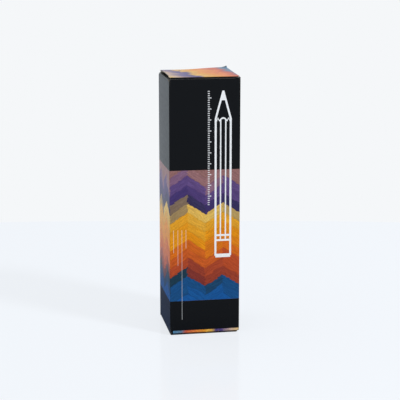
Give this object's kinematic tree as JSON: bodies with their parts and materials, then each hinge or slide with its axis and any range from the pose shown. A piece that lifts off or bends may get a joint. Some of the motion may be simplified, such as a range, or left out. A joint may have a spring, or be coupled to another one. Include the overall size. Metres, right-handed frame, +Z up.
{
  "type": "pencil carton",
  "caption": "Tall square folding paperboard carton of coloured pencils, with a tuck-in lid, a tuck-in base and dust flaps that open with them.",
  "frame": {"origin": "middle of the foot, on the surface that the carton stands on", "axes": "+Z up along the pencils, the front wall faces -Y, X runs across the front"},
  "size_m": [0.049, 0.0496, 0.18],
  "materials": {
    "printed_board": "varnished print outside, bare grey board inside and at the cut edges",
    "lacquer_01": "gloss lacquer over cedar, sharpened, with a lead of the same colour",
    "lacquer_02": "gloss lacquer over cedar, sharpened, with a lead of the same colour",
    "lacquer_03": "gloss lacquer over cedar, sharpened, with a lead of the same colour",
    "lacquer_04": "gloss lacquer over cedar, sharpened, with a lead of the same colour",
    "lacquer_05": "gloss lacquer over cedar, sharpened, with a lead of the same colour",
    "lacquer_06": "gloss lacquer over cedar, sharpened, with a lead of the same colour",
    "lacquer_07": "gloss lacquer over cedar, sharpened, with a lead of the same colour",
    "lacquer_08": "gloss lacquer over cedar, sharpened, with a lead of the same colour",
    "lacquer_09": "gloss lacquer over cedar, sharpened, with a lead of the same colour",
    "lacquer_10": "gloss lacquer over cedar, sharpened, with a lead of the same colour",
    "lacquer_11": "gloss lacquer over cedar, sharpened, with a lead of the same colour",
    "lacquer_12": "gloss lacquer over cedar, sharpened, with a lead of the same colour",
    "lacquer_13": "gloss lacquer over cedar, sharpened, with a lead of the same colour",
    "lacquer_14": "gloss lacquer over cedar, sharpened, with a lead of the same colour",
    "lacquer_15": "gloss lacquer over cedar, sharpened, with a lead of the same colour",
    "lacquer_16": "gloss lacquer over cedar, sharpened, with a lead of the same colour",
    "lacquer_17": "gloss lacquer over cedar, sharpened, with a lead of the same colour",
    "lacquer_18": "gloss lacquer over cedar, sharpened, with a lead of the same colour",
    "lacquer_19": "gloss lacquer over cedar, sharpened, with a lead of the same colour",
    "lacquer_20": "gloss lacquer over cedar, sharpened, with a lead of the same colour",
    "lacquer_21": "gloss lacquer over cedar, sharpened, with a lead of the same colour",
    "lacquer_22": "gloss lacquer over cedar, sharpened, with a lead of the same colour",
    "lacquer_23": "gloss lacquer over cedar, sharpened, with a lead of the same colour",
    "lacquer_24": "gloss lacquer over cedar, sharpened, with a lead of the same colour",
    "lacquer_25": "gloss lacquer over cedar, sharpened, with a lead of the same colour",
    "lacquer_26": "gloss lacquer over cedar, sharpened, with a lead of the same colour",
    "lacquer_27": "gloss lacquer over cedar, sharpened, with a lead of the same colour",
    "lacquer_28": "gloss lacquer over cedar, sharpened, with a lead of the same colour",
    "lacquer_29": "gloss lacquer over cedar, sharpened, with a lead of the same colour",
    "lacquer_30": "gloss lacquer over cedar, sharpened, with a lead of the same colour",
    "lacquer_31": "gloss lacquer over cedar, sharpened, with a lead of the same colour",
    "lacquer_32": "gloss lacquer over cedar, sharpened, with a lead of the same colour",
    "lacquer_33": "gloss lacquer over cedar, sharpened, with a lead of the same colour",
    "lacquer_34": "gloss lacquer over cedar, sharpened, with a lead of the same colour",
    "lacquer_35": "gloss lacquer over cedar, sharpened, with a lead of the same colour",
    "lacquer_36": "gloss lacquer over cedar, sharpened, with a lead of the same colour"
  },
  "bodies": {
    "carton": {"front_panel": "printed_board", "back_panel": "printed_board", "left_side_panel": "printed_board", "right_side_panel": "printed_board", "glue_flap": "printed_board"},
    "lid": {"lid_panel": "printed_board"},
    "lid_tuck": {"lid_tuck_flap": "printed_board"},
    "lid_dust_left": {"lid_dust_flap_left": "printed_board"},
    "lid_dust_right": {"lid_dust_flap_right": "printed_board"},
    "base": {"base_panel": "printed_board"},
    "base_tuck": {"base_tuck_flap": "printed_board"},
    "base_dust_left": {"base_dust_flap_left": "printed_board"},
    "base_dust_right": {"base_dust_flap_right": "printed_board"},
    "pencil_01": {"pencil_01": "lacquer_01"},
    "pencil_02": {"pencil_02": "lacquer_02"},
    "pencil_03": {"pencil_03": "lacquer_03"},
    "pencil_04": {"pencil_04": "lacquer_04"},
    "pencil_05": {"pencil_05": "lacquer_05"},
    "pencil_06": {"pencil_06": "lacquer_06"},
    "pencil_07": {"pencil_07": "lacquer_07"},
    "pencil_08": {"pencil_08": "lacquer_08"},
    "pencil_09": {"pencil_09": "lacquer_09"},
    "pencil_10": {"pencil_10": "lacquer_10"},
    "pencil_11": {"pencil_11": "lacquer_11"},
    "pencil_12": {"pencil_12": "lacquer_12"},
    "pencil_13": {"pencil_13": "lacquer_13"},
    "pencil_14": {"pencil_14": "lacquer_14"},
    "pencil_15": {"pencil_15": "lacquer_15"},
    "pencil_16": {"pencil_16": "lacquer_16"},
    "pencil_17": {"pencil_17": "lacquer_17"},
    "pencil_18": {"pencil_18": "lacquer_18"},
    "pencil_19": {"pencil_19": "lacquer_19"},
    "pencil_20": {"pencil_20": "lacquer_20"},
    "pencil_21": {"pencil_21": "lacquer_21"},
    "pencil_22": {"pencil_22": "lacquer_22"},
    "pencil_23": {"pencil_23": "lacquer_23"},
    "pencil_24": {"pencil_24": "lacquer_24"},
    "pencil_25": {"pencil_25": "lacquer_25"},
    "pencil_26": {"pencil_26": "lacquer_26"},
    "pencil_27": {"pencil_27": "lacquer_27"},
    "pencil_28": {"pencil_28": "lacquer_28"},
    "pencil_29": {"pencil_29": "lacquer_29"},
    "pencil_30": {"pencil_30": "lacquer_30"},
    "pencil_31": {"pencil_31": "lacquer_31"},
    "pencil_32": {"pencil_32": "lacquer_32"},
    "pencil_33": {"pencil_33": "lacquer_33"},
    "pencil_34": {"pencil_34": "lacquer_34"},
    "pencil_35": {"pencil_35": "lacquer_35"},
    "pencil_36": {"pencil_36": "lacquer_36"}
  },
  "joints": [
    {"name": "lid_hinge", "type": "hinge", "parent": "carton", "child": "lid", "pos_m": [0, 0.0246, 0.17975], "axis": [-1, 0, 0], "range_deg": [0, 120]},
    {"name": "base_hinge", "type": "hinge", "parent": "carton", "child": "base", "pos_m": [0, -0.0246, 0.00025], "axis": [-1, 0, 0], "range_deg": [0, 120]},
    {"name": "lid_tuck_fold", "type": "hinge", "parent": "lid", "child": "lid_tuck", "pos_m": [0, -0.0233, 0.17975], "axis": [1, 0, 0], "range_deg": [0, 36]},
    {"name": "lid_dust_fold_left", "type": "hinge", "parent": "carton", "child": "lid_dust_left", "pos_m": [-0.0242, 0, 0.17795], "axis": [0, -1, 0], "range_deg": [0, 90]},
    {"name": "lid_dust_fold_right", "type": "hinge", "parent": "carton", "child": "lid_dust_right", "pos_m": [0.0242, 0, 0.17795], "axis": [0, 1, 0], "range_deg": [0, 90]},
    {"name": "base_tuck_fold", "type": "hinge", "parent": "base", "child": "base_tuck", "pos_m": [0, 0.0233, 0.00025], "axis": [1, 0, 0], "range_deg": [0, 36]},
    {"name": "base_dust_fold_left", "type": "hinge", "parent": "carton", "child": "base_dust_left", "pos_m": [-0.0242, 0, 0.00095], "axis": [0, 1, 0], "range_deg": [0, 90]},
    {"name": "base_dust_fold_right", "type": "hinge", "parent": "carton", "child": "base_dust_right", "pos_m": [0.0242, 0, 0.00095], "axis": [0, -1, 0], "range_deg": [0, 90]},
    {"name": "pencil_01_lift", "type": "slide", "parent": "carton", "child": "pencil_01", "axis": [0, 0, 1], "range_m": [0, 0.0013]},
    {"name": "pencil_02_lift", "type": "slide", "parent": "carton", "child": "pencil_02", "axis": [0, 0, 1], "range_m": [0, 0.0013]},
    {"name": "pencil_03_lift", "type": "slide", "parent": "carton", "child": "pencil_03", "axis": [0, 0, 1], "range_m": [0, 0.0013]},
    {"name": "pencil_04_lift", "type": "slide", "parent": "carton", "child": "pencil_04", "axis": [0, 0, 1], "range_m": [0, 0.0013]},
    {"name": "pencil_05_lift", "type": "slide", "parent": "carton", "child": "pencil_05", "axis": [0, 0, 1], "range_m": [0, 0.0013]},
    {"name": "pencil_06_lift", "type": "slide", "parent": "carton", "child": "pencil_06", "axis": [0, 0, 1], "range_m": [0, 0.0013]},
    {"name": "pencil_07_lift", "type": "slide", "parent": "carton", "child": "pencil_07", "axis": [0, 0, 1], "range_m": [0, 0.0013]},
    {"name": "pencil_08_lift", "type": "slide", "parent": "carton", "child": "pencil_08", "axis": [0, 0, 1], "range_m": [0, 0.0013]},
    {"name": "pencil_09_lift", "type": "slide", "parent": "carton", "child": "pencil_09", "axis": [0, 0, 1], "range_m": [0, 0.0013]},
    {"name": "pencil_10_lift", "type": "slide", "parent": "carton", "child": "pencil_10", "axis": [0, 0, 1], "range_m": [0, 0.0013]},
    {"name": "pencil_11_lift", "type": "slide", "parent": "carton", "child": "pencil_11", "axis": [0, 0, 1], "range_m": [0, 0.0013]},
    {"name": "pencil_12_lift", "type": "slide", "parent": "carton", "child": "pencil_12", "axis": [0, 0, 1], "range_m": [0, 0.0013]},
    {"name": "pencil_13_lift", "type": "slide", "parent": "carton", "child": "pencil_13", "axis": [0, 0, 1], "range_m": [0, 0.0013]},
    {"name": "pencil_14_lift", "type": "slide", "parent": "carton", "child": "pencil_14", "axis": [0, 0, 1], "range_m": [0, 0.0013]},
    {"name": "pencil_15_lift", "type": "slide", "parent": "carton", "child": "pencil_15", "axis": [0, 0, 1], "range_m": [0, 0.0013]},
    {"name": "pencil_16_lift", "type": "slide", "parent": "carton", "child": "pencil_16", "axis": [0, 0, 1], "range_m": [0, 0.0013]},
    {"name": "pencil_17_lift", "type": "slide", "parent": "carton", "child": "pencil_17", "axis": [0, 0, 1], "range_m": [0, 0.0013]},
    {"name": "pencil_18_lift", "type": "slide", "parent": "carton", "child": "pencil_18", "axis": [0, 0, 1], "range_m": [0, 0.0013]},
    {"name": "pencil_19_lift", "type": "slide", "parent": "carton", "child": "pencil_19", "axis": [0, 0, 1], "range_m": [0, 0.0013]},
    {"name": "pencil_20_lift", "type": "slide", "parent": "carton", "child": "pencil_20", "axis": [0, 0, 1], "range_m": [0, 0.0013]},
    {"name": "pencil_21_lift", "type": "slide", "parent": "carton", "child": "pencil_21", "axis": [0, 0, 1], "range_m": [0, 0.0013]},
    {"name": "pencil_22_lift", "type": "slide", "parent": "carton", "child": "pencil_22", "axis": [0, 0, 1], "range_m": [0, 0.0013]},
    {"name": "pencil_23_lift", "type": "slide", "parent": "carton", "child": "pencil_23", "axis": [0, 0, 1], "range_m": [0, 0.0013]},
    {"name": "pencil_24_lift", "type": "slide", "parent": "carton", "child": "pencil_24", "axis": [0, 0, 1], "range_m": [0, 0.0013]},
    {"name": "pencil_25_lift", "type": "slide", "parent": "carton", "child": "pencil_25", "axis": [0, 0, 1], "range_m": [0, 0.0013]},
    {"name": "pencil_26_lift", "type": "slide", "parent": "carton", "child": "pencil_26", "axis": [0, 0, 1], "range_m": [0, 0.0013]},
    {"name": "pencil_27_lift", "type": "slide", "parent": "carton", "child": "pencil_27", "axis": [0, 0, 1], "range_m": [0, 0.0013]},
    {"name": "pencil_28_lift", "type": "slide", "parent": "carton", "child": "pencil_28", "axis": [0, 0, 1], "range_m": [0, 0.0013]},
    {"name": "pencil_29_lift", "type": "slide", "parent": "carton", "child": "pencil_29", "axis": [0, 0, 1], "range_m": [0, 0.0013]},
    {"name": "pencil_30_lift", "type": "slide", "parent": "carton", "child": "pencil_30", "axis": [0, 0, 1], "range_m": [0, 0.0013]},
    {"name": "pencil_31_lift", "type": "slide", "parent": "carton", "child": "pencil_31", "axis": [0, 0, 1], "range_m": [0, 0.0013]},
    {"name": "pencil_32_lift", "type": "slide", "parent": "carton", "child": "pencil_32", "axis": [0, 0, 1], "range_m": [0, 0.0013]},
    {"name": "pencil_33_lift", "type": "slide", "parent": "carton", "child": "pencil_33", "axis": [0, 0, 1], "range_m": [0, 0.0013]},
    {"name": "pencil_34_lift", "type": "slide", "parent": "carton", "child": "pencil_34", "axis": [0, 0, 1], "range_m": [0, 0.0013]},
    {"name": "pencil_35_lift", "type": "slide", "parent": "carton", "child": "pencil_35", "axis": [0, 0, 1], "range_m": [0, 0.0013]},
    {"name": "pencil_36_lift", "type": "slide", "parent": "carton", "child": "pencil_36", "axis": [0, 0, 1], "range_m": [0, 0.0013]}
  ],
  "couplings": [
    {"joint": "lid_tuck_fold", "follows": "lid_hinge", "ratio": 0.3},
    {"joint": "lid_dust_fold_left", "follows": "lid_hinge", "ratio": 0.75},
    {"joint": "lid_dust_fold_right", "follows": "lid_hinge", "ratio": 0.75},
    {"joint": "base_tuck_fold", "follows": "base_hinge", "ratio": 0.3},
    {"joint": "base_dust_fold_left", "follows": "base_hinge", "ratio": 0.75},
    {"joint": "base_dust_fold_right", "follows": "base_hinge", "ratio": 0.75}
  ]
}
